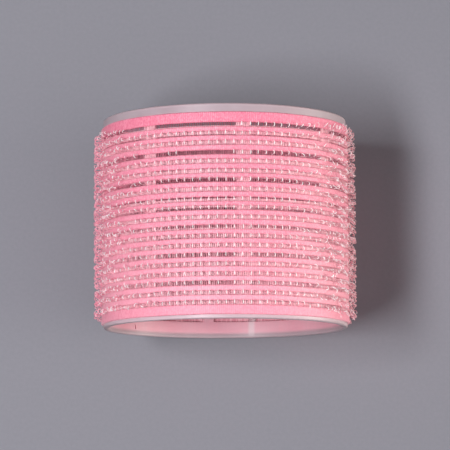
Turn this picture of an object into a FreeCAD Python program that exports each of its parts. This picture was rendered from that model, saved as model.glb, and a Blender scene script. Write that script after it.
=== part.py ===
"""Self-grip hair roller, 70 mm core diameter, 60 mm long.

A moulded frosted plastic barrel, slotted like a cage, carries one wrap of
woven hook tape.  The tape is made of ribbed selvedges, narrow close-woven
bands and open gaps between them; a row of monofilament grip hooks stands in
every gap.  The tape's two cut ends meet along one weld line.

Frame, millimetres: the roller lies on its side.  The bore runs along Y, +Z is
up, and the origin is the middle of the bore.
"""
import FreeCAD, Part
import Sketcher
import math
import os

V = FreeCAD.Vector

doc = FreeCAD.newDocument("hair_roller")

# ---------------------------------------------------------------- dimensions
CELLS = [
    # barrel
    ("core_radius", 35.0, "outer radius of the moulded barrel"),
    ("core_wall", 1.4, "wall of the barrel's two end bands"),
    ("cage_wall", 1.2, "wall of the slotted cage between the end bands"),
    ("cage_half", 25.6, "half the length of the thinner cage wall"),
    ("core_length", 60.0, "length of the barrel"),
    ("rim_round", 0.45, "rounding of the two rims"),
    ("slot_count", 8, "slots round the barrel"),
    ("rib_count", 8, "axial ribs between the slots"),
    ("rib_angle", 6.4, "angle that an axial rib takes up"),
    ("rib_phase", 8.5, "angle of the first rib from the top, towards +X"),
    ("slot_rows", 13, "rows of slots along the barrel"),
    ("slot_pitch", 4.07, "pitch of the slot rows along the barrel"),
    ("slot_height", 1.6, "height of a slot along the barrel"),
    ("slot_corner", 0.35, "corner radius of a slot"),
    ("gate_low", -28.2, "gate slit, end towards -Y"),
    ("gate_high", -27.0, "gate slit, end towards +Y"),
    ("gate_wide", 0.45, "width of the gate slit round the barrel"),
    ("gate_angle", 232.0, "angle of the gate slit from the top, towards +X"),
    # tape
    ("tape_gap", 0.02, "clearance between the barrel and the tape's ground"),
    ("ground_thick", 0.12, "thickness of the weft ground"),
    ("band_thick", 0.34, "thickness of a close-woven band over the ground"),
    ("selvedge_thick", 0.40, "thickness of a selvedge over the ground"),
    ("band_round", 0.12, "rounding of a strip's outer edges"),
    ("lay_gap", 0.02, "clearance between the ground and the bands on it"),
    ("tape_top", 27.56, "tape edge towards +Y"),
    ("tape_bottom", -28.90, "tape edge towards -Y"),
    ("hem_top", 24.50, "inner edge of the selvedge towards +Y"),
    ("hem_bottom", -26.11, "inner edge of the selvedge towards -Y"),
    ("gap_height", 1.05, "width of an open gap between bands"),
    # weld line
    ("seam_angle", 166.7, "angle of the weld line from the top, towards +X"),
    ("seam_width", 2.2, "width of the weld line round the barrel"),
    ("seam_thick", 0.42, "height of the weld line over the barrel"),
    ("seam_gap", 0.03, "clearance between the weld and the cut ends"),
    # grip hooks
    ("hook_radius", 38.0, "radius to the crown of the hooks"),
    ("hook_width", 0.84, "width of a hook row along the barrel"),
    ("hook_root", 0.16, "height of a hook row's root over the barrel"),
    ("hook_crown", 0.38, "rounding of a hook row's crown"),
]
# middle of each open gap, from the +Y end; the loom's spacing is uneven
GAPS = [23.97, 21.43, 18.85, 16.11, 13.65, 10.93, 8.48, 5.84, 3.07, 0.68,
        -1.97, -4.72, -7.22, -9.82, -12.40, -14.97, -17.65, -20.16, -22.88,
        -25.58]

sheet = doc.addObject("Spreadsheet::Sheet", "dims")
sheet.Label = "dimensions"
row = 1
for name, value, note in CELLS:
    sheet.set("A%d" % row, name)
    sheet.set("B%d" % row, repr(value))
    sheet.set("C%d" % row, note)
    sheet.setAlias("B%d" % row, name)
    row += 1
for k, y in enumerate(GAPS, 1):
    sheet.set("A%d" % row, "gap_row_%02d" % k)
    sheet.set("B%d" % row, repr(y))
    sheet.set("C%d" % row, "middle of open gap %d" % k)
    sheet.setAlias("B%d" % row, "gaprow_%s" % chr(96 + k))
    row += 1
doc.recompute()


def val(name):
    return float(sheet.get(name))


def gap_alias(k):
    return "gaprow_%s" % chr(96 + k)


D = "dims."


# ------------------------------------------------------------------- helpers
def origin_plane(body, role):
    for f in body.Origin.OriginFeatures:
        if f.Role == role:
            return f
    raise RuntimeError("no " + role)


def new_body(name):
    body = doc.addObject("PartDesign::Body", name)
    body.Label = name
    body.Placement = FreeCAD.Placement()
    return body


def new_sketch(body, name, role):
    sk = body.newObject("Sketcher::SketchObject", name)
    sk.AttachmentSupport = (origin_plane(body, role), [""])
    sk.MapMode = "FlatFace"
    return sk


def rect(sk, r0, r1, y0, y1, names):
    """Rectangle with its corners held by four named distances from the axes.

    On the YZ plane the sketch's x is the model's Y and its y is the model's Z,
    so a ring's section is (y0..y1) across and (r0..r1) up.
    """
    g = Part.LineSegment
    a = sk.addGeometry(g(V(y0, r0, 0), V(y1, r0, 0)), False)
    b = sk.addGeometry(g(V(y1, r0, 0), V(y1, r1, 0)), False)
    c = sk.addGeometry(g(V(y1, r1, 0), V(y0, r1, 0)), False)
    d = sk.addGeometry(g(V(y0, r1, 0), V(y0, r0, 0)), False)
    C = Sketcher.Constraint
    for p, q in ((a, b), (b, c), (c, d), (d, a)):
        sk.addConstraint(C("Coincident", p, 2, q, 1))
    sk.addConstraint(C("Horizontal", a))
    sk.addConstraint(C("Horizontal", c))
    sk.addConstraint(C("Vertical", b))
    sk.addConstraint(C("Vertical", d))
    # distances from the sketch's origin, signed
    k = sk.addConstraint(C("DistanceX", -1, 1, a, 1, y0))
    sk.renameConstraint(k, "ylow")
    k = sk.addConstraint(C("DistanceX", -1, 1, a, 2, y1))
    sk.renameConstraint(k, "yhigh")
    k = sk.addConstraint(C("DistanceY", -1, 1, a, 1, r0))
    sk.renameConstraint(k, "rin")
    k = sk.addConstraint(C("DistanceY", -1, 1, c, 1, r1))
    sk.renameConstraint(k, "rout")
    for key, expr in names.items():
        sk.setExpression("Constraints." + key, expr)


def turned(angle):
    """Placement that turns a piece about the bore, from +Z towards +X."""
    return FreeCAD.Placement(V(0, 0, 0), FreeCAD.Rotation(V(0, 1, 0), angle))


def rim_edges(shape, radius, planes):
    """Names of the circular edges of one radius that lie at given Y."""
    out = []
    for i, e in enumerate(shape.Edges, 1):
        c = e.Curve
        if isinstance(c, Part.Circle) and abs(c.Radius - radius) < 1e-4:
            if any(abs(c.Center.y - y) < 1e-4 for y in planes):
                out.append("Edge%d" % i)
    return out


def wrap(name, y0, y1, r0, r1, exprs, round_alias, span, facing):
    """A strip of the tape wrapped round the barrel.

    The strip's section is turned about the bore by the angle in `span`, half
    each way from its middle, and its middle faces the angle `facing`.  Its two
    outer edges are rounded.
    """
    body = new_body(name)
    sk = new_sketch(body, name + "_section", "YZ_Plane")
    rect(sk, r0, r1, y0, y1, exprs)
    rev = body.newObject("PartDesign::Revolution", name + "_turn")
    rev.Profile = sk
    rev.ReferenceAxis = (sk, ["H_Axis"])
    rev.Angle = 300.0
    rev.Midplane = True
    rev.setExpression("Angle", span)
    doc.recompute()
    body.Tip = rev
    if round_alias:
        fil = body.newObject("PartDesign::Fillet", name + "_edges")
        fil.Base = (rev, rim_edges(rev.Shape, r1, (y0, y1)))
        fil.Radius = val(round_alias)
        fil.setExpression("Radius", D + round_alias)
        body.Tip = fil
    body.Placement = turned(facing)
    return body


# --------------------------------------------------------------- core barrel
cr, cw, cl = val("core_radius"), val("core_wall"), val("core_length")
core = new_body("core_barrel")
sk = new_sketch(core, "barrel_section", "YZ_Plane")
rect(sk, cr - cw, cr, -cl / 2, cl / 2, {
    "ylow": "-" + D + "core_length / 2",
    "yhigh": D + "core_length / 2",
    "rin": D + "core_radius - " + D + "core_wall",
    "rout": D + "core_radius"})
barrel = core.newObject("PartDesign::Revolution", "barrel_wall")
barrel.Profile = sk
barrel.ReferenceAxis = (sk, ["H_Axis"])
barrel.Angle = 360.0
doc.recompute()
v_barrel = barrel.Shape.Volume

rims = core.newObject("PartDesign::Fillet", "rim_rounds")
rims.Base = (barrel, rim_edges(barrel.Shape, cr, (-cl / 2, cl / 2))
             + rim_edges(barrel.Shape, cr - cw, (-cl / 2, cl / 2)))
rims.Radius = val("rim_round")
rims.setExpression("Radius", D + "rim_round")
core.Tip = rims
doc.recompute()
v_rims = rims.Shape.Volume
assert 0 < v_barrel - v_rims < 200, (v_barrel, v_rims)

# The cage is a little thinner than the end bands, relieved from the inside.
relief = new_sketch(core, "cage_relief_section", "YZ_Plane")
ch = val("cage_half")
rect(relief, cr - cw - 0.5, cr - val("cage_wall"), -ch, ch, {
    "ylow": "-" + D + "cage_half", "yhigh": D + "cage_half",
    "rin": D + "core_radius - " + D + "core_wall - 0.5",
    "rout": D + "core_radius - " + D + "cage_wall"})
thin = core.newObject("PartDesign::Groove", "cage_relief")
thin.Profile = relief
thin.ReferenceAxis = (relief, ["H_Axis"])
thin.Angle = 360.0
core.Tip = thin
doc.recompute()
v_thin = rims.Shape.Volume - thin.Shape.Volume
print("cage relief cuts", round(v_thin, 1), "mm3")
assert abs(v_thin / (math.pi * ((cr - val("cage_wall")) ** 2 - (cr - cw) ** 2)
                     * 2 * ch) - 1) < 0.01

# The first slot: a window with round corners, seen from above, that goes
# through the top of the wall.
hx = cr * math.sin(math.radians((360.0 / val("slot_count") - val("rib_angle")) / 2))
hy = val("slot_height") / 2
rc = val("slot_corner")
yc = -val("slot_pitch") * (val("slot_rows") - 1) / 2
win = new_sketch(core, "slot_window", "XY_Plane")
line, circ = Part.LineSegment, Part.Circle


def corner(cx, cy, a0, a1):
    return Part.ArcOfCircle(circ(V(cx, cy, 0), V(0, 0, 1), rc),
                            math.radians(a0), math.radians(a1))


s0 = win.addGeometry(line(V(-hx + rc, yc - hy, 0), V(hx - rc, yc - hy, 0)), False)
k0 = win.addGeometry(corner(hx - rc, yc - hy + rc, 270, 360), False)
s1 = win.addGeometry(line(V(hx, yc - hy + rc, 0), V(hx, yc + hy - rc, 0)), False)
k1 = win.addGeometry(corner(hx - rc, yc + hy - rc, 0, 90), False)
s2 = win.addGeometry(line(V(hx - rc, yc + hy, 0), V(-hx + rc, yc + hy, 0)), False)
k2 = win.addGeometry(corner(-hx + rc, yc + hy - rc, 90, 180), False)
s3 = win.addGeometry(line(V(-hx, yc + hy - rc, 0), V(-hx, yc - hy + rc, 0)), False)
k3 = win.addGeometry(corner(-hx + rc, yc - hy + rc, 180, 270), False)
C = Sketcher.Constraint
loop = [s0, k0, s1, k1, s2, k2, s3, k3]
for p, q in zip(loop, loop[1:] + loop[:1]):
    win.addConstraint(C("Tangent", p, 2, q, 1))
for g in (s0, s2):
    win.addConstraint(C("Horizontal", g))
for g in (s1, s3):
    win.addConstraint(C("Vertical", g))
for g in (k1, k2, k3):
    win.addConstraint(C("Equal", k0, g))
n = win.addConstraint(C("Radius", k0, rc))
win.renameConstraint(n, "corner")
n = win.addConstraint(C("DistanceX", -1, 1, s1, 1, hx))
win.renameConstraint(n, "right")
n = win.addConstraint(C("DistanceX", s3, 1, -1, 1, hx))
win.renameConstraint(n, "left")
n = win.addConstraint(C("DistanceY", s0, 1, -1, 1, -(yc - hy)))
win.renameConstraint(n, "low")
n = win.addConstraint(C("DistanceY", s0, 1, s2, 1, 2 * hy))
win.renameConstraint(n, "tall")
half = (D + "core_radius * sin((360 / " + D + "slot_count - " + D
        + "rib_angle) / 2 * 1 deg)")
win.setExpression("Constraints.corner", D + "slot_corner")
win.setExpression("Constraints.right", half)
win.setExpression("Constraints.left", half)
win.setExpression("Constraints.low", D + "slot_pitch * (" + D
                  + "slot_rows - 1) / 2 + " + D + "slot_height / 2")
win.setExpression("Constraints.tall", D + "slot_height")
slot = core.newObject("PartDesign::Pocket", "first_slot")
slot.Profile = win
slot.Reversed = True
slot.Type = 1
core.Tip = slot
doc.recompute()
v_slot = thin.Shape.Volume - slot.Shape.Volume
print("one slot cuts", round(v_slot, 2), "mm3")
assert 38 < v_slot < 60, v_slot

# Thirteen rows of slots along the barrel, eight round it.
grid = core.newObject("PartDesign::MultiTransform", "slot_grid")
grid.Originals = [slot]
along = core.newObject("PartDesign::LinearPattern", "slots_along")
along.Direction = (win, ["V_Axis"])
along.Length = val("slot_pitch") * (val("slot_rows") - 1)
along.Occurrences = int(val("slot_rows"))
along.setExpression("Length", D + "slot_pitch * (" + D + "slot_rows - 1)")
along.setExpression("Occurrences", D + "slot_rows")
turn = core.newObject("PartDesign::PolarPattern", "slots_round")
turn.Axis = (sk, ["H_Axis"])
turn.Angle = 360.0
turn.Occurrences = int(val("slot_count"))
turn.setExpression("Occurrences", D + "slot_count")
grid.Transformations = [along, turn]
core.Tip = grid
doc.recompute()
v_grid = thin.Shape.Volume - grid.Shape.Volume
print("slot grid cuts", round(v_grid, 1), "expected",
      round(v_slot * val("slot_count") * val("slot_rows"), 1))
assert abs(v_grid / (v_slot * val("slot_count") * val("slot_rows")) - 1) < 0.01

# A short gate slit through the end band towards -Y.
gate = new_sketch(core, "gate_slit_section", "YZ_Plane")
gy0, gy1 = val("gate_low"), val("gate_high")
rect(gate, cr - cw - 1, cr + 1, gy0, gy1, {
    "ylow": D + "gate_low", "yhigh": D + "gate_high",
    "rin": D + "core_radius - " + D + "core_wall - 1",
    "rout": D + "core_radius + 1"})
# the barrel's own zero angle is the middle of a slot, so its turn comes off
own_turn = val("rib_phase") - 180.0 / val("slot_count")
gate.AttachmentOffset = FreeCAD.Placement(
    V(0, 0, 0), FreeCAD.Rotation(V(1, 0, 0), val("gate_angle") - own_turn))
doc.recompute()
slit = core.newObject("PartDesign::Groove", "gate_slit")
slit.Profile = gate
slit.ReferenceAxis = (gate, ["H_Axis"])
slit.Angle = 1.0
slit.Midplane = True
slit.setExpression("Angle", D + "gate_wide / " + D + "core_radius * 180 / pi")
core.Tip = slit
doc.recompute()
v_slit = grid.Shape.Volume - slit.Shape.Volume
print("gate slit cuts", round(v_slit, 3), "mm3")
assert 0.3 < v_slit < 3, v_slit
core.Placement = turned(own_turn)

# ----------------------------------------------------------------- hook tape
SEAM = val("seam_angle")
AWAY = SEAM - 180.0
ROUND = "360 - (" + D + "seam_width + 2 * " + D + "seam_gap) / " + D + "core_radius * 180 / pi"
g0 = cr + val("tape_gap")
g1 = g0 + val("ground_thick")
GIN = D + "core_radius + " + D + "tape_gap"
GOUT = GIN + " + " + D + "ground_thick"
BIN = GOUT + " + " + D + "lay_gap"
b0 = g1 + val("lay_gap")

# fine weft ground that everything is woven into
wrap("tape_weft_ground", val("tape_bottom"), val("tape_top"), g0, g1,
     {"ylow": D + "tape_bottom", "yhigh": D + "tape_top",
      "rin": GIN, "rout": GOUT}, None, ROUND, AWAY)

# selvedges
wrap("tape_selvedge_top", val("hem_top"), val("tape_top"), b0,
     b0 + val("selvedge_thick"),
     {"ylow": D + "hem_top", "yhigh": D + "tape_top", "rin": BIN,
      "rout": BIN + " + " + D + "selvedge_thick"}, "band_round", ROUND, AWAY)
wrap("tape_selvedge_bottom", val("tape_bottom"), val("hem_bottom"), b0,
     b0 + val("selvedge_thick"),
     {"ylow": D + "tape_bottom", "yhigh": D + "hem_bottom", "rin": BIN,
      "rout": BIN + " + " + D + "selvedge_thick"}, "band_round", ROUND, AWAY)

# close-woven bands between the open gaps
gh = val("gap_height") / 2
for k in range(1, len(GAPS)):
    ya = val(gap_alias(k + 1)) + gh
    yb = val(gap_alias(k)) - gh
    wrap("tape_band_%02d" % k, ya, yb, b0, b0 + val("band_thick"),
         {"ylow": D + gap_alias(k + 1) + " + " + D + "gap_height / 2",
          "yhigh": D + gap_alias(k) + " - " + D + "gap_height / 2",
          "rin": BIN, "rout": BIN + " + " + D + "band_thick"},
         "band_round", ROUND, AWAY)

# a row of grip hooks in each gap, as the ring that its hooks fill
hw = val("hook_width") / 2
for k in range(1, len(GAPS) + 1):
    y = val(gap_alias(k))
    wrap("hook_row_%02d" % k, y - hw, y + hw, cr + val("hook_root"),
         val("hook_radius"),
         {"ylow": D + gap_alias(k) + " - " + D + "hook_width / 2",
          "yhigh": D + gap_alias(k) + " + " + D + "hook_width / 2",
          "rin": D + "core_radius + " + D + "hook_root",
          "rout": D + "hook_radius"}, "hook_crown", ROUND, AWAY)

# the weld line over the tape's two cut ends
wrap("tape_weld_line", val("tape_bottom"), val("tape_top"), g0,
     cr + val("seam_thick"),
     {"ylow": D + "tape_bottom", "yhigh": D + "tape_top", "rin": GIN,
      "rout": D + "core_radius + " + D + "seam_thick"}, "band_round",
     D + "seam_width / " + D + "core_radius * 180 / pi", SEAM)

# --------------------------------------------------------- check and export
doc.recompute()
for obj in doc.Objects:
    bad = [s for s in obj.State if s in ("Invalid", "Error")]
    if bad:
        raise RuntimeError("%s is %s" % (obj.Name, bad))

bodies = [o for o in doc.Objects if o.TypeId == "PartDesign::Body"]
for body in bodies:
    shp = body.Shape
    if shp.isNull() or not shp.isValid() or len(shp.Solids) != 1:
        raise RuntimeError("%s has no single valid solid" % body.Label)

os.makedirs("parts", exist_ok=True)
box = FreeCAD.BoundBox()
total = 0.0
for body in bodies:
    body.Shape.exportStep("parts/" + body.Label + ".step")
    box.add(body.Shape.optimalBoundingBox(False, False))
    total += body.Shape.Volume
    print("%-22s %9.1f mm3" % (body.Label, body.Shape.Volume))
print(len(bodies), "pieces,", round(total, 1), "mm3 in all")
print("box X %.3f..%.3f  Y %.3f..%.3f  Z %.3f..%.3f" % (
    box.XMin, box.XMax, box.YMin, box.YMax, box.ZMin, box.ZMax))
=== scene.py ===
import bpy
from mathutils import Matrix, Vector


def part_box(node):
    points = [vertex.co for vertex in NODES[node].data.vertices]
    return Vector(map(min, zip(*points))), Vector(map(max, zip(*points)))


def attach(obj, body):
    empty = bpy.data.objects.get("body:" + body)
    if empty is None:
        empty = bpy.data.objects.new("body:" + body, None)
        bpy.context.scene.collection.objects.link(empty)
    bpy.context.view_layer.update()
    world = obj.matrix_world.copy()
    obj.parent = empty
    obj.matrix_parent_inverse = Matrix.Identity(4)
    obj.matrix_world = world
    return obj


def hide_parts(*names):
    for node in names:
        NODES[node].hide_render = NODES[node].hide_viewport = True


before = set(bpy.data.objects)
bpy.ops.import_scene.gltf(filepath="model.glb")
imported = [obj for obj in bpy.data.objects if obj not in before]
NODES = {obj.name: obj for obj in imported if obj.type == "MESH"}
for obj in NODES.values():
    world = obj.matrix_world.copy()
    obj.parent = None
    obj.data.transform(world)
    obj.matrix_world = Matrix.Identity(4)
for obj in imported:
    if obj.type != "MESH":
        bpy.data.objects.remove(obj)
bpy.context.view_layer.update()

import math

import bpy
import numpy as np
from mathutils import Matrix, Vector

MM = 0.001

# ------------------------------------------------------------------ camera
# The roller lies on its side and is seen from almost straight above, a little
# towards its -Y mouth.
scene = bpy.context.scene
TILT = 0.119055
DIST = 0.8222
ROLL = 0.005654
cam_data = bpy.data.cameras.new("camera")
cam_data.sensor_width = 36.0
cam_data.lens = 2851.8 / 450.0 * 36.0
cam_data.clip_start = 0.05
cam_data.clip_end = 20.0
cam = bpy.data.objects.new("camera", cam_data)
scene.collection.objects.link(cam)
target = Vector((0.0, -0.00001, 0.0))
back = Vector((0.0, -math.sin(TILT), math.cos(TILT)))
up = Vector((0.0, math.cos(TILT), math.sin(TILT)))
right = up.cross(back)
up_r = up * math.cos(ROLL) + right * math.sin(ROLL)
right_r = up_r.cross(back)
rot = Matrix((right_r, up_r, back)).transposed()
cam.matrix_world = Matrix.Translation(target + back * DIST) @ rot.to_4x4()
cam_data.shift_x = 0.0
cam_data.shift_y = 0.0
scene.camera = cam

# --------------------------------------------------------------- dimensions
R = 35.0                       # barrel
lo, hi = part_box("core_barrel")
LEN = (hi.y - lo.y) / MM
SEAM = math.radians(166.7)
SEAM_W = 2.2
HALF_GAP = (SEAM_W / 2 + 0.03) / R
TH0 = SEAM + HALF_GAP
SPAN = 2 * math.pi - 2 * HALF_GAP
PICKS = 404                    # weft threads round the tape
PER_HOOK = 4                   # one hook on every fourth weft thread
FLOOR_Z = -38.0 * MM

bands = []
for k in range(1, 20):
    a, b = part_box("tape_band_%02d" % k)
    bands.append((a.y / MM, b.y / MM))
rows = []
for k in range(1, 21):
    a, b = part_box("hook_row_%02d" % k)
    rows.append((a.y + b.y) / 2 / MM)
a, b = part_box("tape_selvedge_top")
HEM_T = (a.y / MM, b.y / MM)
a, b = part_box("tape_selvedge_bottom")
HEM_B = (a.y / MM, b.y / MM)


# ------------------------------------------------------------ mesh building
def make(name, verts, faces, mats, smooth=True):
    me = bpy.data.meshes.new(name)
    me.from_pydata(np.asarray(verts, float).tolist(), [], faces)
    me.update()
    if smooth:
        me.polygons.foreach_set("use_smooth", [True] * len(me.polygons))
    ob = bpy.data.objects.new(name, me)
    scene.collection.objects.link(ob)
    for m in mats:
        me.materials.append(m)
    return ob


def polar(rad, th, y):
    """Points in metres from radius, angle from +Z towards +X, and y, in mm."""
    return np.stack([rad * np.sin(th), y, rad * np.cos(th)], -1) * MM


def strip(TH, U, H, y0, r0, closed=False):
    """Faces and points of a strip wrapped round the barrel.

    TH, U and H are (rows, columns): angle, place across and height over r0 of
    each point of a closed section, whose first rows run along its outer face
    towards +Y.
    """
    nr, nc = H.shape
    P = polar(r0 + H, TH, y0 + U).reshape(-1, 3)
    idx = np.arange(nr * nc).reshape(nr, nc)
    a = idx
    b = np.roll(idx, -1, 0)
    cols = slice(0, nc - 1)
    q = np.stack([a[:, :-1], a[:, 1:], b[:, 1:], b[:, :-1]], -1).reshape(-1, 4)
    faces = q.tolist()
    if closed:
        q = np.stack([a[:, -1], a[:, 0], b[:, 0], b[:, -1]], -1)
        faces += q.tolist()
    else:
        faces.append(idx[:, 0].tolist())
        faces.append(idx[::-1, -1].tolist())
    return P, faces


def tubes(paths, side, radius, sides, taper=None, flat=1.0):
    """Closed tubes along many paths at once.

    paths (n, m, 3) in metres, side (n, 3) a direction across each path,
    radius in mm, one number or (n, m).
    """
    n, m, _ = paths.shape
    t = np.gradient(paths, axis=1)
    t /= np.linalg.norm(t, axis=2, keepdims=True)
    b = np.repeat(side[:, None, :], m, 1)
    b = b - (b * t).sum(2, keepdims=True) * t
    b /= np.linalg.norm(b, axis=2, keepdims=True)
    nrm = np.cross(t, b)
    rad = np.broadcast_to(np.asarray(radius, float), (n, m)) * MM
    ang = np.arange(sides) * 2 * math.pi / sides
    ring = (np.cos(ang)[None, None, :, None] * nrm[:, :, None, :] * flat
            + np.sin(ang)[None, None, :, None] * b[:, :, None, :])
    P = paths[:, :, None, :] + rad[:, :, None, None] * ring
    V = P.reshape(-1, 3)
    idx = np.arange(n * m * sides).reshape(n, m, sides)
    nxt = np.roll(idx, -1, 2)
    q = np.stack([idx[:, :-1], idx[:, 1:], nxt[:, 1:], nxt[:, :-1]], -1)
    faces = q.reshape(-1, 4).tolist()
    faces += idx[:, 0].tolist()
    faces += idx[:, -1, ::-1].tolist()
    return V, faces


def join(parts):
    V, F, off = [], [], 0
    for v, f in parts:
        V.append(v)
        F += [[i + off for i in face] for face in f]
        off += len(v)
    return np.concatenate(V), F


def smooth_noise(rng, n, scale, amount):
    """A wandering line of n values, over a length scale of that many steps."""
    k = max(4, int(n / scale) + 3)
    pts = rng.normal(0, amount, k)
    x = np.linspace(0, k - 1.001, n)
    i = x.astype(int)
    f = x - i
    f = f * f * (3 - 2 * f)
    return pts[i] * (1 - f) + pts[np.minimum(i + 1, k - 1)] * f


# ---------------------------------------------------------------- materials
def tree(name):
    m = bpy.data.materials.new(name)
    m.use_nodes = True
    nt = m.node_tree
    bsdf = nt.nodes["Principled BSDF"]
    return m, nt, bsdf


def node(nt, kind, **kw):
    n = nt.nodes.new(kind)
    for k, v in kw.items():
        if k in n.inputs:
            n.inputs[k].default_value = v
        else:
            setattr(n, k, v)
    return n


def math_node(nt, op, a, b=None, c=None):
    n = nt.nodes.new("ShaderNodeMath")
    n.operation = op
    for i, v in enumerate((a, b, c)):
        if v is None:
            continue
        if isinstance(v, (int, float)):
            n.inputs[i].default_value = v
        else:
            nt.links.new(v, n.inputs[i])
    return n.outputs[0]


def wrap_coords(nt):
    """Arc length round the barrel, place along it and radius, in mm."""
    tc = nt.nodes.new("ShaderNodeTexCoord")
    sep = nt.nodes.new("ShaderNodeSeparateXYZ")
    nt.links.new(tc.outputs["Object"], sep.inputs[0])
    x, y, z = sep.outputs
    th = math_node(nt, "ARCTAN2", x, z)
    arc = math_node(nt, "MULTIPLY", th, 35.0)
    yy = math_node(nt, "MULTIPLY", y, 1000.0)
    r2 = math_node(nt, "ADD", math_node(nt, "MULTIPLY", x, x),
                   math_node(nt, "MULTIPLY", z, z))
    rr = math_node(nt, "MULTIPLY", math_node(nt, "SQRT", r2), 1000.0)
    return th, arc, yy, rr


def combine(nt, a, b, c):
    n = nt.nodes.new("ShaderNodeCombineXYZ")
    for i, v in enumerate((a, b, c)):
        if isinstance(v, (int, float)):
            n.inputs[i].default_value = v
        else:
            nt.links.new(v, n.inputs[i])
    return n.outputs[0]


def noise(nt, vec, scale, detail=2.0, rough=0.5):
    n = nt.nodes.new("ShaderNodeTexNoise")
    n.inputs["Scale"].default_value = scale
    n.inputs["Detail"].default_value = detail
    n.inputs["Roughness"].default_value = rough
    nt.links.new(vec, n.inputs["Vector"])
    return n.outputs["Fac"]


def ramp(nt, fac, stops):
    n = nt.nodes.new("ShaderNodeValToRGB")
    els = n.color_ramp.elements
    while len(els) < len(stops):
        els.new(0.5)
    for e, (p, c) in zip(els, stops):
        e.position = p
        e.color = (*c, 1.0)
    nt.links.new(fac, n.inputs[0])
    return n.outputs[0]


def mixc(nt, fac, a, b, mode="MIX"):
    n = nt.nodes.new("ShaderNodeMix")
    n.data_type = "RGBA"
    n.blend_type = mode
    for sock, v in ((n.inputs[0], fac), (n.inputs[6], a), (n.inputs[7], b)):
        if isinstance(v, (int, float)):
            sock.default_value = v
        elif isinstance(v, tuple):
            sock.default_value = (*v, 1.0)
        else:
            nt.links.new(v, sock)
    return n.outputs[2]


def bump(nt, bsdf, height, strength, distance):
    b = nt.nodes.new("ShaderNodeBump")
    b.inputs["Strength"].default_value = strength
    b.inputs["Distance"].default_value = distance
    nt.links.new(height, b.inputs["Height"])
    nt.links.new(b.outputs[0], bsdf.inputs["Normal"])


def srgb(r, g, b):
    def f(c):
        c /= 255.0
        return c / 12.92 if c <= 0.04045 else ((c + 0.055) / 1.055) ** 2.4
    return (f(r), f(g), f(b))


def step(nt, value, a, b, lo=0.0, hi=1.0):
    n = nt.nodes.new("ShaderNodeMapRange")
    n.interpolation_type = "SMOOTHSTEP"
    n.inputs["From Min"].default_value = a
    n.inputs["From Max"].default_value = b
    n.inputs["To Min"].default_value = lo
    n.inputs["To Max"].default_value = hi
    nt.links.new(value, n.inputs["Value"])
    return n.outputs[0]


def weave_material(name, deep, mid, light, rib, rib_shade, sheen=0.30, rough=0.60):
    """Dyed synthetic yarn: filaments along the threads, dye and wear mottling, and painted
    shade between the threads.
    """
    m, nt, bsdf = tree(name)
    th, arc, yy, rr = wrap_coords(nt)
    # filaments run along the weft, across the tape
    fil = noise(nt, combine(nt, math_node(nt, "MULTIPLY", arc, 9.0),
                            math_node(nt, "MULTIPLY", yy, 1.3), rr), 1.0, 2.0)
    # blotches of dye and fluff
    blot = noise(nt, combine(nt, arc, yy, rr), 0.9, 3.0, 0.6)
    speck = noise(nt, combine(nt, math_node(nt, "MULTIPLY", arc, 1.6), yy, rr),
                  1.9, 2.0, 0.6)
    base = ramp(nt, blot, [(0.20, deep), (0.50, mid), (0.80, light)])
    tint = ramp(nt, speck, [(0.34, deep), (0.50, mid), (0.64, light)])
    base = mixc(nt, 0.72, base, tint)
    # painted shade: darker between the threads, and down the strip's flanks and valleys,
    # where the ribs shade each other
    turn = math_node(nt, "MULTIPLY", math_node(nt, "LESS_THAN", th, SEAM), 2 * math.pi)
    at = math_node(nt, "DIVIDE", math_node(
        nt, "SUBTRACT", math_node(nt, "ADD", th, turn), TH0), SPAN / PICKS)
    between = math_node(nt, "ABSOLUTE", math_node(
        nt, "SUBTRACT", math_node(nt, "FRACT", at), 0.5))
    base = mixc(nt, step(nt, between, 0.16, 0.46, 0.0, rib_shade), base, deep)
    base = mixc(nt, step(nt, rr, rib[0], rib[1], 0.12, 0.0), base, deep)
    # the strips are a little paler towards the -Y end
    base = mixc(nt, step(nt, yy, -24.0, 6.0, 0.30, 0.0), base, srgb(255, 192, 206))
    nt.links.new(base, bsdf.inputs["Base Color"])
    rg = nt.nodes.new("ShaderNodeMapRange")
    rg.inputs["To Min"].default_value = rough - 0.08
    rg.inputs["To Max"].default_value = rough + 0.08
    nt.links.new(fil, rg.inputs["Value"])
    nt.links.new(rg.outputs[0], bsdf.inputs["Roughness"])
    bsdf.inputs["Sheen Weight"].default_value = sheen
    bsdf.inputs["Sheen Roughness"].default_value = 0.4
    bsdf.inputs["Sheen Tint"].default_value = (1.0, 0.82, 0.86, 1.0)
    bsdf.inputs["Specular IOR Level"].default_value = 0.6
    bump(nt, bsdf, fil, 0.5, 0.00006)
    return m


def over_slots(nt, th, yy):
    """1 over a slot of the barrel, 0 over its plastic."""
    pitch = 4.07
    row = math_node(nt, "ADD", math_node(nt, "DIVIDE", yy, pitch), 100.5)
    off = math_node(nt, "ABSOLUTE", math_node(
        nt, "SUBTRACT", math_node(nt, "FRACT", row), 0.5))
    in_row = step(nt, off, 0.80 / pitch - 0.02, 0.80 / pitch + 0.03, 1.0, 0.0)
    inside = step(nt, math_node(nt, "ABSOLUTE", yy), 25.2, 25.6, 1.0, 0.0)
    rib = math_node(nt, "ADD", math_node(nt, "DIVIDE", math_node(
        nt, "SUBTRACT", th, math.radians(8.5)), math.radians(45.0)), 20.5)
    away = math_node(nt, "ABSOLUTE", math_node(
        nt, "SUBTRACT", math_node(nt, "FRACT", rib), 0.5))
    off_rib = step(nt, away, 3.0 / 45.0, 3.8 / 45.0)
    return math_node(nt, "MULTIPLY", math_node(nt, "MULTIPLY", in_row, inside), off_rib)


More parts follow.
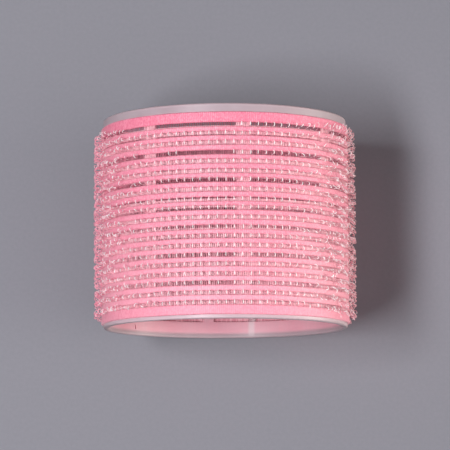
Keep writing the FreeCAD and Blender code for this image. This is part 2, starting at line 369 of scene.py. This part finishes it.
M_BAND = weave_material("pink_weave", srgb(229, 120, 147), srgb(242, 150, 172),
                        srgb(251, 180, 197), (35.24, 35.46), 0.42)
M_HEM = weave_material("pink_selvedge", srgb(228, 106, 137), srgb(241, 137, 162),
                       srgb(249, 164, 185), (35.30, 35.50), 0.55)


def weft():
    """Thin weft threads: paler over the barrel's plastic, with painted shade darkening them
    over its slots, where no plastic lies behind them.
    """
    m, nt, bsdf = tree("weft_threads")
    th, arc, yy, rr = wrap_coords(nt)
    fil = noise(nt, combine(nt, math_node(nt, "MULTIPLY", arc, 9.0),
                            math_node(nt, "MULTIPLY", yy, 1.3), rr), 1.0, 2.0)
    each = noise(nt, combine(nt, math_node(nt, "MULTIPLY", arc, 1.9),
                             math_node(nt, "MULTIPLY", yy, 0.35), rr), 1.0, 1.0)
    pale = ramp(nt, each, [(0.32, srgb(236, 158, 174)), (0.50, srgb(246, 182, 194)),
                           (0.68, srgb(253, 208, 216))])
    deep = ramp(nt, each, [(0.32, srgb(186, 96, 116)), (0.50, srgb(212, 122, 142)),
                           (0.68, srgb(232, 150, 168))])
    # painted shade: over the slots the threads are darker, a little towards -Y and fully
    # towards +Y
    slot_shade = math_node(nt, "MULTIPLY", over_slots(nt, th, yy),
                     step(nt, yy, -10.0, 8.0, 0.30, 1.0))
    base = mixc(nt, slot_shade, pale, deep)
    # painted shade: over the slots of the row beside the +Y selvedge the threads are painted
    # darkest, for the shaded floor seen through them
    base = mixc(nt, math_node(nt, "MULTIPLY", over_slots(nt, th, yy),
                              step(nt, yy, 21.5, 22.6, 0.0, 0.85)), base,
                srgb(150, 62, 84))
    nt.links.new(base, bsdf.inputs["Base Color"])
    nt.links.new(step(nt, fil, 0.0, 1.0, 0.45, 0.66), bsdf.inputs["Roughness"])
    bsdf.inputs["Sheen Weight"].default_value = 0.2
    bsdf.inputs["Sheen Roughness"].default_value = 0.4
    bump(nt, bsdf, fil, 0.4, 0.00004)
    return m


M_WEFT = weft()


def nylon():
    """Clear monofilament tinted pink, with painted highlights and glints where light would
    catch it.
    """
    m, nt, bsdf = tree("hook_nylon")
    th, arc, yy, rr = wrap_coords(nt)
    n1 = noise(nt, combine(nt, arc, yy, rr), 1.7, 2.0)
    leg = ramp(nt, n1, [(0.30, srgb(242, 168, 186)), (0.70, srgb(252, 204, 214))])
    pink = ramp(nt, n1, [(0.30, srgb(232, 120, 148)), (0.70, srgb(247, 158, 180))])

    # painted highlights: along the top of the roller each crook is painted pale as a
    # highlight along its crown;
    # elsewhere only the tips and small spots are painted pale as glints
    crown = step(nt, rr, 36.9, 37.45)
    along_top = step(nt, math_node(nt, "ABSOLUTE", math_node(
        nt, "SUBTRACT", th, 0.30)), 0.70, 1.25, 1.0, 0.0)
    spot_n = noise(nt, combine(nt, arc, yy, rr), 3.2, 0.0)
    glint_spots = math_node(nt, "MULTIPLY", step(nt, spot_n, 0.57, 0.60), step(nt, rr, 35.6, 36.2))
    glint_spots = math_node(nt, "MULTIPLY", glint_spots, step(nt, th, -1.45, -1.20, 0.45, 1.0))
    tip_glint = math_node(nt, "MULTIPLY", step(nt, rr, 37.30, 37.46), step(
        nt, math_node(nt, "ABSOLUTE", th), 1.05, 1.35, 1.0, 0.0))
    painted_glint = math_node(nt, "MAXIMUM", math_node(nt, "MULTIPLY", crown, along_top),
                      math_node(nt, "MAXIMUM", glint_spots, tip_glint))
    # along the top the filament is paler; round the sides it is deeper pink, paler again
    # towards +X
    pink = mixc(nt, step(nt, th, 1.0, 1.3, 0.0, 0.45), pink, srgb(250, 206, 210))
    leg = mixc(nt, along_top, pink, leg)
    base = mixc(nt, painted_glint, leg, srgb(255, 250, 251))
    nt.links.new(base, bsdf.inputs["Base Color"])
    nt.links.new(math_node(nt, "MULTIPLY", along_top, step(nt, painted_glint, 0.0, 1.0, 0.16, 0.0)),
                 bsdf.inputs["Transmission Weight"])
    nt.links.new(math_node(nt, "ADD", step(nt, n1, 0.0, 1.0, 0.16, 0.34),
                           step(nt, along_top, 0.0, 1.0, 0.22, 0.0)),
                 bsdf.inputs["Roughness"])
    bsdf.inputs["IOR"].default_value = 1.53
    bsdf.inputs["Specular IOR Level"].default_value = 0.5
    fil = noise(nt, combine(nt, math_node(nt, "MULTIPLY", arc, 8.0),
                            math_node(nt, "MULTIPLY", yy, 8.0), rr), 1.0, 1.0)
    bump(nt, bsdf, fil, 0.15, 0.00003)
    return m


M_HOOK = nylon()


def frosted():
    """Moulded translucent polypropylene with a fine etched surface.

    The wall is mostly diffuse. Under the tape, the pink light that comes through
    the tape is painted into its colour: painted shade deep in the middle of the bore,
    paler towards its mouths. The bare end bands are milky, and the weld line shows as a
    whiter streak.
    """
    m, nt, bsdf = tree("frosted_core")
    th, arc, yy, rr = wrap_coords(nt)
    tc = nt.nodes.new("ShaderNodeTexCoord")
    mp = nt.nodes.new("ShaderNodeMapping")
    mp.inputs["Scale"].default_value = (1000.0, 1000.0, 1000.0)
    nt.links.new(tc.outputs["Object"], mp.inputs[0])
    vec = mp.outputs[0]
    cloud = noise(nt, vec, 0.12, 3.0, 0.55)
    grain = noise(nt, vec, 5.0, 2.0, 0.6)
    # flow marks run along the barrel
    flow_v = nt.nodes.new("ShaderNodeMapping")
    flow_v.inputs["Scale"].default_value = (1.6, 0.10, 1.6)
    nt.links.new(vec, flow_v.inputs[0])
    flow = noise(nt, flow_v.outputs[0], 0.8, 2.0, 0.5)

    bare = ramp(nt, cloud, [(0.30, srgb(196, 176, 184)), (0.70, srgb(208, 191, 198))])
    # painted light: the pink of light passing through the tape onto the barrel under it
    painted_glow = ramp(nt, cloud, [(0.30, srgb(246, 184, 197)), (0.70, srgb(252, 198, 209))])
    bore = ramp(nt, cloud, [(0.30, srgb(158, 48, 72)), (0.70, srgb(172, 62, 86))])
    # painted shade: inside the bore the pink is painted deeper away from the light of the
    # two mouths
    wall = step(nt, rr, 33.7, 34.5, 1.0, 0.0)
    bore_shade_mask = math_node(nt, "MULTIPLY", step(nt, yy, -16.0, 7.0),
                    step(nt, yy, 19.0, 27.0, 1.0, 0.0))
    inner = mixc(nt, bore_shade_mask, ramp(nt, cloud, [(0.30, srgb(250, 174, 190)),
                                           (0.70, srgb(254, 190, 203))]), bore)
    painted_glow = mixc(nt, wall, painted_glow, inner)
    under = math_node(nt, "MULTIPLY", step(nt, yy, HEM_B[0] - 0.5, HEM_B[0] + 0.9),
                      step(nt, yy, HEM_T[1] - 0.9, HEM_T[1] + 0.5, 1.0, 0.0))
    base = mixc(nt, under, bare, painted_glow)
    base = mixc(nt, math_node(nt, "MULTIPLY", flow, 0.22), base,
                srgb(208, 176, 188))
    off = math_node(nt, "ABSOLUTE", math_node(nt, "SUBTRACT", th, SEAM))
    base = mixc(nt, step(nt, off, 0.012, 0.042, 0.62, 0.0), base, srgb(244, 226, 230))
    base = mixc(nt, step(nt, math_node(nt, "ABSOLUTE", yy), 29.1, 29.6, 0.0, 0.6), base,
                srgb(224, 198, 206))
    outer = math_node(nt, "MULTIPLY", step(nt, rr, 34.82, 34.96),
                      step(nt, yy, -28.6, -27.6, 0.12, 0.0))
    base = mixc(nt, outer, base, srgb(240, 212, 220))
    nt.links.new(base, bsdf.inputs["Base Color"])
    nt.links.new(step(nt, grain, 0.0, 1.0, 0.34, 0.52), bsdf.inputs["Roughness"])
    # the outer skin is milkier by the -Y end
    skin = math_node(nt, "MULTIPLY", step(nt, rr, 34.82, 34.96),
                     step(nt, yy, -5.0, 5.0, 1.0, 0.0))
    through = math_node(nt, "SUBTRACT", 1.0, math_node(nt, "MULTIPLY", skin, 0.40))
    nt.links.new(math_node(nt, "MULTIPLY", through, step(nt, under, 0.0, 1.0, 0.34, 0.06)),
                 bsdf.inputs["Transmission Weight"])
    bsdf.inputs["IOR"].default_value = 1.49
    bump(nt, bsdf, grain, 0.12, 0.00004)
    return m


M_CORE = frosted()


def weld_plastic():
    m, nt, bsdf = tree("weld_plastic")
    th, arc, yy, rr = wrap_coords(nt)
    n1 = noise(nt, combine(nt, math_node(nt, "MULTIPLY", arc, 0.8), yy, rr), 1.2, 3.0)
    base = ramp(nt, n1, [(0.30, srgb(228, 170, 184)), (0.55, srgb(240, 205, 212)),
                         (0.75, srgb(248, 232, 236))])
    nt.links.new(base, bsdf.inputs["Base Color"])
    rg = nt.nodes.new("ShaderNodeMapRange")
    rg.inputs["To Min"].default_value = 0.25
    rg.inputs["To Max"].default_value = 0.55
    nt.links.new(n1, rg.inputs["Value"])
    nt.links.new(rg.outputs[0], bsdf.inputs["Roughness"])
    bsdf.inputs["Transmission Weight"].default_value = 0.25
    bump(nt, bsdf, n1, 0.4, 0.0001)
    return m


M_WELD = weld_plastic()

# --------------------------------------------------------------- woven tape
G0 = 35.03                     # inside face of the tape's ground
G1 = 35.13
B0 = 35.16                     # inside face of the bands


def woven(name, y0, y1, top, warps, rib, pillow, seed, mat, edge=0.30):
    """A close-woven strip: raised weft ribs, crossed by warp yarns."""
    rng = np.random.default_rng(seed)
    w = y1 - y0
    nc = 2 * PICKS + 1
    ci = np.arange(nc)
    pick = (ci % 2 == 1).astype(float)          # 1 on a thread, 0 between two
    th = TH0 + ci / (nc - 1) * SPAN
    th = th + rng.normal(0, 0.0006, nc)
    # wander of the two edges and of the height
    e0 = smooth_noise(rng, nc, 26, 0.035) + rng.normal(0, 0.02, nc)
    e1 = smooth_noise(rng, nc, 26, 0.035) + rng.normal(0, 0.02, nc)
    sw = smooth_noise(rng, nc, 60, 0.018)
    thick = rng.normal(0, 0.018, nc) * pick
    us, hs = [], []
    inner = 2 * warps - 1
    offs = np.linspace(-1 + edge + 0.10, 1 - edge - 0.10, inner)
    # lower corner, shoulder, warps and valleys, shoulder, lower corner
    us.append(np.full(nc, -1.0)); hs.append(np.full(nc, 0.18) * top)
    us.append(np.full(nc, -1 + edge)); hs.append(np.full(nc, 0.80) * top
                                                  + rib * 0.6 * (pick - 0.5))
    for j in range(inner):
        on = (j % 2 == 0)
        k = ci // 2
        over = (((k + j // 2) % 2) == 0).astype(float)
        if on:
            h = top + rib * (pick - 0.6) + pillow * (over - 0.5) * (0.4 + pick)
        else:
            h = top + rib * (pick - 0.6) - pillow * 0.9
        h = h + thick + rng.normal(0, 0.008, nc)
        us.append(np.full(nc, offs[j]) + rng.normal(0, 0.03, nc))
        hs.append(h)
    us.append(np.full(nc, 1 - edge)); hs.append(np.full(nc, 0.80) * top
                                                 + rib * 0.6 * (pick - 0.5))
    us.append(np.full(nc, 1.0)); hs.append(np.full(nc, 0.18) * top)
    us.append(np.full(nc, 0.97)); hs.append(np.zeros(nc))
    us.append(np.full(nc, -0.97)); hs.append(np.zeros(nc))
    U = np.array(us) * w / 2
    H = np.array(hs)
    H[2:-4] += sw
    # the edges wander, more over the gap than under the tape
    f = (U / w + 0.5)
    U = U + e0 * (1 - f) + e1 * f
    TH = np.broadcast_to(th, U.shape)
    V, F = strip(TH, U, np.minimum(H, 0.62), (y0 + y1) / 2, B0)
    ob = make(name, V, F, [mat])
    # the underside is flat, so that the flanks keep their own shading
    flags = np.ones(len(F), bool)
    flags[(H.shape[0] - 3) * (nc - 1):] = False
    ob.data.polygons.foreach_set("use_smooth", flags.tolist())
    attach(ob, "root")
    return ob


for k, (y0, y1) in enumerate(bands, 1):
    warps = 4 if y1 - y0 > 1.42 else 3
    ob = woven("band_%02d" % k, y0, y1, 0.36, warps, 0.09, 0.05, 100 + k,
               M_BAND)
    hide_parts("tape_band_%02d" % k)
ob = woven("selvedge_top", HEM_T[0], HEM_T[1], 0.42, 6, 0.08, 0.03, 71, M_HEM,
           0.13)
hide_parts("tape_selvedge_top")
ob = woven("selvedge_bottom", HEM_B[0], HEM_B[1], 0.42, 6, 0.08, 0.03, 72, M_HEM,
           0.13)
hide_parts("tape_selvedge_bottom")

# Ground: the cloth's back under each band, and the weft threads that cross
# the open gaps.
parts = []
rng = np.random.default_rng(5)
nc = 221
th = TH0 + np.arange(nc) / (nc - 1) * SPAN
for y0, y1 in bands + [HEM_T, HEM_B]:
    w = y1 - y0
    U = np.array([np.full(nc, s) for s in (-w / 2, w / 2, w / 2, -w / 2)])
    H = np.array([np.full(nc, h) for h in (G1 - G0, G1 - G0, 0.0, 0.0)])
    parts.append(strip(np.broadcast_to(th, U.shape), U, H, (y0 + y1) / 2, G0))
base_th = TH0 + (np.arange(PICKS) + 0.5) / PICKS * SPAN
hook_pick = (np.arange(PICKS) % PER_HOOK) == 1
extra_pick = (np.arange(PICKS) % PER_HOOK) == 3
for k, y in enumerate(rows, 1):
    jit = rng.normal(0, 0.0007, PICKS) + smooth_noise(rng, PICKS, 9, 0.0006)
    lean = rng.normal(0, 0.0009, PICKS)
    t = np.linspace(-1, 1, 3)
    TH = base_th[:, None] + jit[:, None] + lean[:, None] * t[None, :]
    Y = y + 0.64 * t[None, :] + np.zeros_like(TH)
    RR = 35.19 + 0.05 * (1 - t[None, :] ** 2) + rng.normal(0, 0.015, (PICKS, 1))
    P = polar(RR, TH, Y)
    side = np.stack([np.cos(base_th), 0 * base_th, -np.sin(base_th)], -1)
    thick = 0.140 if k == 1 else 0.120 if k < 12 else 0.170
    rad = thick + rng.normal(0, 0.014, (PICKS, 1)) + 0 * TH
    parts.append(tubes(P, side, rad, 4))
V, F = join(parts)
ground = make("weft_ground", V, F, [M_WEFT])
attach(ground, "root")
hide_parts("tape_weft_ground")


# -------------------------------------------------------------------- hooks
def ease(x, a, b):
    t = np.clip((x - a) / (b - a), 0, 1)
    return t * t * (3 - 2 * t)


LEG = np.array([0.0, 0.33, 0.68, 1.0])
CURL = np.linspace(0.0, 1.0, 9)[1:]
STUB_H = np.array([0.0, 0.5, 1.0])
FLOATS = {3: (-0.36,), 5: (-0.32,), 8: (-0.34,), 11: (0.30,), 13: (-0.30,),
          16: (0.28,), 19: (-0.30, 0.10)}
FLOAT_ARC = {3: (-14, 5), 5: (-30, -8), 8: (-31, -10), 11: (-24, 22), 13: (-20, 14),
             16: (-30, 24), 19: (-36, 48)}

for k, y in enumerate(rows, 1):
    rng = np.random.default_rng(900 + k)
    th = base_th[hook_pick] + rng.normal(0, 0.0014, hook_pick.sum())
    # round the sides a second filament makes hooks between the first ones
    th2 = base_th[extra_pick] + rng.normal(0, 0.003, extra_pick.sum())
    d2 = np.abs(np.degrees((th2 + math.pi) % (2 * math.pi) - math.pi))
    th = np.concatenate([th, th2[rng.random(len(th2)) < ease(d2, 44, 62)]])
    deg = np.degrees((th + math.pi) % (2 * math.pi) - math.pi)
    # stretches of two rows have no hooks
    if k == 1:
        keep = (deg < -47) | (deg > 6)
    elif k == 4:
        keep = (deg < -50) | (deg > 2) | (rng.random(len(deg)) < 0.25)
    else:
        keep = rng.random(len(deg)) > 0.02
    th, deg = th[keep], deg[keep]
    n = len(th)
    # hooks at the top stand as they were woven; handling has bent the rest
    used = ease(np.abs(deg), 22, 58)
    right_side = ease(deg, 26, 60) * (1 - ease(deg, 118, 150))
    left_side = ease(-deg, 40, 75) * (1 - ease(-deg, 118, 150))
    used = used * (1 - 0.34 * ease(-deg, 25, 50) * (1 - ease(-deg, 118, 150)))
    face = np.where(rng.random(n) < 0.40 - 0.22 * right_side, 1.0, -1.0)
    rc = np.clip(0.52 - 0.08 * used + rng.normal(0, 1, n) * (0.025 + 0.12 * used),
                 0.24, 0.70)
    h0 = np.clip(2.50 - rc + rng.normal(0, 1, n) * (0.04 + 0.24 * used), 1.0,
                 2.62 - rc)
    curl = np.radians(np.clip(192 + rng.normal(0, 1, n) * (8 + 50 * used), 80, 310))
    bow = rng.normal(0, 1, n) * (0.02 + 0.10 * used)
    # lean along the barrel, lean round it, and turn of the crook
    lean = rng.normal(0, 1, n) * (0.03 + 0.26 * used)
    lean += right_side * (0.95 * math.exp(-(k - 1) / 1.5)
                          - 0.30 * math.exp(-(20 - k) / 1.2) - 0.22)
    lean -= left_side * 0.25 * math.exp(-(20 - k) / 1.2)
    sway = rng.normal(0, 1, n) * (0.02 + 0.24 * used)
    twist = rng.normal(0, 1, n) * (0.05 + 0.75 * used)
    up_n = np.stack([np.sin(th), 0 * th, np.cos(th)], -1)
    tan = np.stack([np.cos(th), 0 * th, -np.sin(th)], -1)
    axial = np.array([0.0, 1.0, 0.0])
    e1 = axial * np.cos(twist)[:, None] + tan * np.sin(twist)[:, None]
    e2 = tan * np.cos(twist)[:, None] - axial * np.sin(twist)[:, None]
    a = math.pi - curl[:, None] * CURL[None, :]
    u = np.concatenate([-rc[:, None] + bow[:, None] * np.sin(math.pi * LEG),
                        rc[:, None] * np.cos(a)], 1)
    h = np.concatenate([h0[:, None] * LEG[None, :],
                        h0[:, None] + rc[:, None] * np.sin(a)], 1)
    su = np.stack([rc, rc + 0.03, rc - 0.02], 1)
    sh = STUB_H[None, :] * (0.85 + 0.25 * rng.normal(0, 1, n))[:, None].clip(0.3, 1.3)
    parts = []
    for uu, hh, wide in ((u, h, 0.030), (su, sh, 0.0)):
        uu = uu * face[:, None]
        w = hh * np.sqrt(hh / 2.5)
        hr = hh * np.sqrt(np.clip(1 - (lean ** 2 + sway ** 2)[:, None] * 0.5, 0.4, 1))
        P = (up_n[:, None, :] * (35.17 + hr)[:, :, None]
             + axial[None, None, :] * (y + lean[:, None] * w)[:, :, None]
             + e1[:, None, :] * uu[:, :, None]
             + tan[:, None, :] * (sway[:, None] * w)[:, :, None]) * MM
        # keep every hook inside the roller's own radius
        rr = np.hypot(P[:, :, 0], P[:, :, 2])
        lim = 37.86 * MM
        f = np.where(rr > lim, lim / rr, 1.0)
        P[:, :, 0] *= f
        P[:, :, 2] *= f
        rad = 0.086 - 0.014 * used[:, None] + wide * ease(hh, 1.5, 2.3)
        parts.append(tubes(P, e2, rad, 5, flat=0.78))
    # where the filament between the hooks floats over the weft it shows
    for side in FLOATS.get(k, ()):
        a0, a1 = FLOAT_ARC[k]
        ang = np.degrees((base_th + math.pi) % (2 * math.pi) - math.pi)
        sel = np.where((ang > a0) & (ang < a1))[0]
        ht = 35.31 + 0.02 * rng.normal(0, 1, len(sel))
        yw = y + side + smooth_noise(rng, len(sel), 7, 0.035)
        P = polar(ht, base_th[sel], yw)[None]
        parts.append(tubes(P, np.array([[0.0, 1.0, 0.0]]), 0.07, 4))
    V, F = join(parts)
    ob = make("hooks_%02d" % k, V, F, [M_HOOK])
    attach(ob, "root")
    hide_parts("hook_row_%02d" % k)

# ---------------------------------------------------------------- weld line
rng = np.random.default_rng(33)
ny, na = 140, 9
ys = np.linspace(HEM_B[0], HEM_T[1], ny)
w0 = SEAM_W / 2 / R
tt = np.linspace(-1, 1, na)
edge_a = smooth_noise(rng, ny, 7, 0.06)
edge_b = smooth_noise(rng, ny, 7, 0.06)
top_h = 0.30 + smooth_noise(rng, ny, 5, 0.035)
sec_th, sec_h = [], []
for j, t in enumerate(tt):
    sec_th.append(SEAM + w0 * (t + np.where(t < 0, edge_a * -t, edge_b * t)))
    crown = 1 - 0.55 * abs(t) ** 3 - 0.22 * math.exp(-(t / 0.22) ** 2)
    sec_h.append(top_h * crown + rng.normal(0, 0.008, ny))
sec_th.append(SEAM + w0 * np.full(ny, 0.96)); sec_h.append(np.zeros(ny))
sec_th.append(SEAM - w0 * np.full(ny, 0.96)); sec_h.append(np.zeros(ny))
TH, H = np.array(sec_th), np.array(sec_h)
Y = np.broadcast_to(ys, TH.shape)
P = polar(35.04 + H, TH, Y).reshape(-1, 3)
nr = len(sec_th)
idx = np.arange(nr * ny).reshape(nr, ny)
b_ = np.roll(idx, -1, 0)
q = np.stack([idx[:, :-1], b_[:, :-1], b_[:, 1:], idx[:, 1:]], -1).reshape(-1, 4)
faces = q.tolist() + [idx[::-1, 0].tolist(), idx[:, -1].tolist()]
weld = make("weld_line", P, faces, [M_WELD])
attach(weld, "root")
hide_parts("tape_weld_line")

# -------------------------------------------------------------- core barrel
core = NODES["core_barrel"]
if core.data.materials:
    for i in range(len(core.data.materials)):
        core.data.materials[i] = M_CORE
else:
    core.data.materials.append(M_CORE)

# ------------------------------------------------------------ floor, lights
def floor_material():
    m, nt, bsdf = tree("studio_floor")
    tc = nt.nodes.new("ShaderNodeTexCoord")
    n1 = noise(nt, tc.outputs["Object"], 900.0, 2.0, 0.6)
    base = ramp(nt, n1, [(0.3, srgb(132, 132, 140)), (0.7, srgb(135, 135, 143))])
    nt.links.new(base, bsdf.inputs["Base Color"])
    bsdf.inputs["Roughness"].default_value = 0.9
    return m


bpy.ops.mesh.primitive_grid_add(x_subdivisions=8, y_subdivisions=8, size=8.0,
                                location=(0, 0, FLOOR_Z))
floor = bpy.context.object
floor.name = "studio_floor"
floor.data.materials.append(floor_material())


def area(name, loc, size, power, color=(1, 1, 1), aim=(0, 0, 0)):
    ld = bpy.data.lights.new(name, "AREA")
    ld.shape = "RECTANGLE"
    ld.size, ld.size_y = size
    ld.energy = power
    ld.color = color
    ob = bpy.data.objects.new(name, ld)
    scene.collection.objects.link(ob)
    ob.location = loc
    d = Vector(aim) - Vector(loc)
    ob.rotation_euler = d.to_track_quat("-Z", "Y").to_euler()
    return ob


key_el = math.radians(67)
area("key", (-1.1 * math.cos(key_el), -0.12, 1.1 * math.sin(key_el)), (0.50, 0.19),
     12.9, (1.0, 0.985, 1.0))
area("top_fill", (0.38, -0.20, 1.15), (0.8, 0.8), 2.7, (1.0, 0.98, 1.0))
area("right_fill", (1.25, -0.15, 0.09), (0.5, 0.22), 13.6, (1.0, 0.96, 0.86))

world = bpy.data.worlds.new("world")
scene.world = world
world.use_nodes = True
bg = world.node_tree.nodes["Background"]
bg.inputs[0].default_value = (0.86, 0.87, 0.92, 1.0)
bg.inputs[1].default_value = 0.05

scene.view_settings.view_transform = "Standard"
scene.view_settings.look = "None"
scene.view_settings.exposure = 0.0
scene.view_settings.gamma = 1.0
